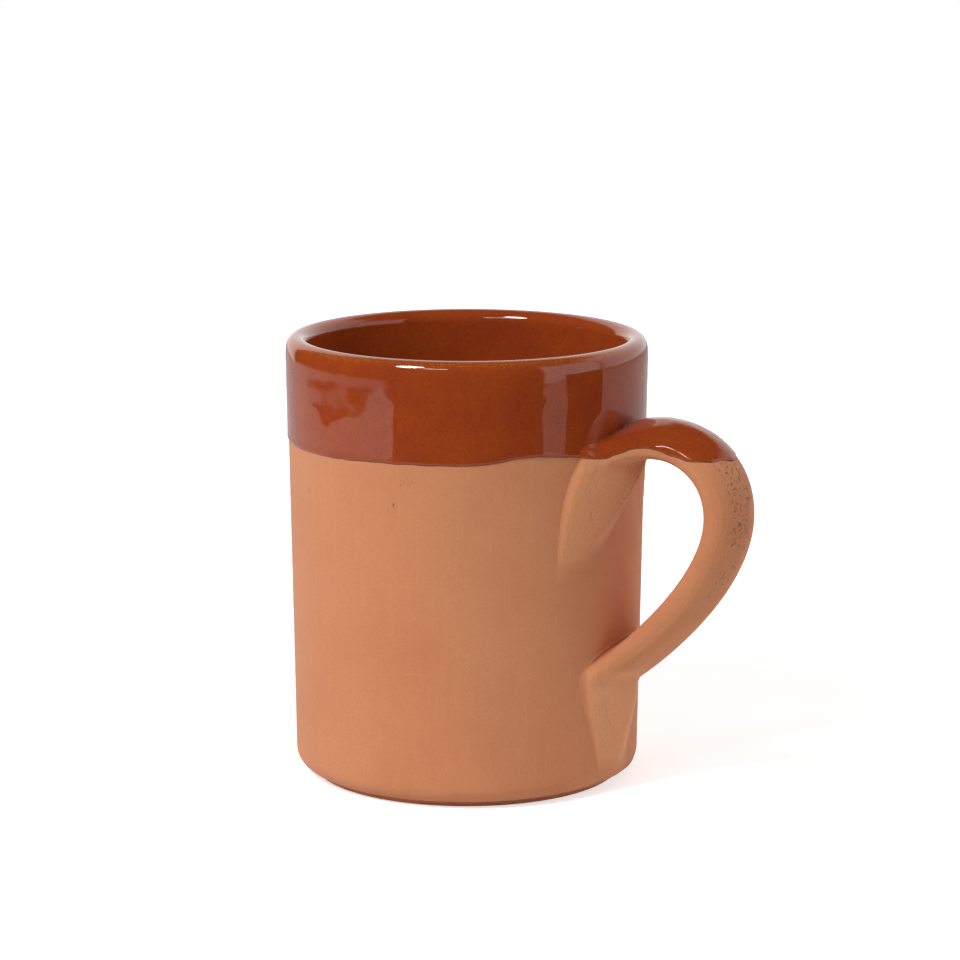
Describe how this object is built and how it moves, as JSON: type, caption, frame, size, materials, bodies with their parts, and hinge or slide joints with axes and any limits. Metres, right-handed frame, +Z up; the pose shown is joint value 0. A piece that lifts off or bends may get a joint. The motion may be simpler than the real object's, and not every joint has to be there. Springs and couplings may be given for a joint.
{
  "type": "clay mug",
  "caption": "Straight-sided terracotta mug with a pulled strap handle, brown glaze inside and in a dipped band over the lip.",
  "frame": {"origin": "where the cup's axis meets the flat underside that the mug stands on", "axes": "+Z up along the cup's axis; +X from the axis towards the handle; +Y to the left of the handle seen from behind it"},
  "size_m": [0.1077, 0.08, 0.098],
  "materials": {
    "clay": "matt fired red clay, unglazed",
    "slip": "matt fired slip",
    "glaze": "glossy transparent brown glaze over the red clay"
  },
  "bodies": {
    "root": {"cup_body": "clay", "handle": "clay", "upper_slip": "slip", "lower_slip": "slip", "upper_clay_wad": "clay", "lower_clay_wad": "clay", "lining_glaze": "glaze", "band_glaze": "glaze", "handle_glaze": "glaze"}
  },
  "joints": []
}
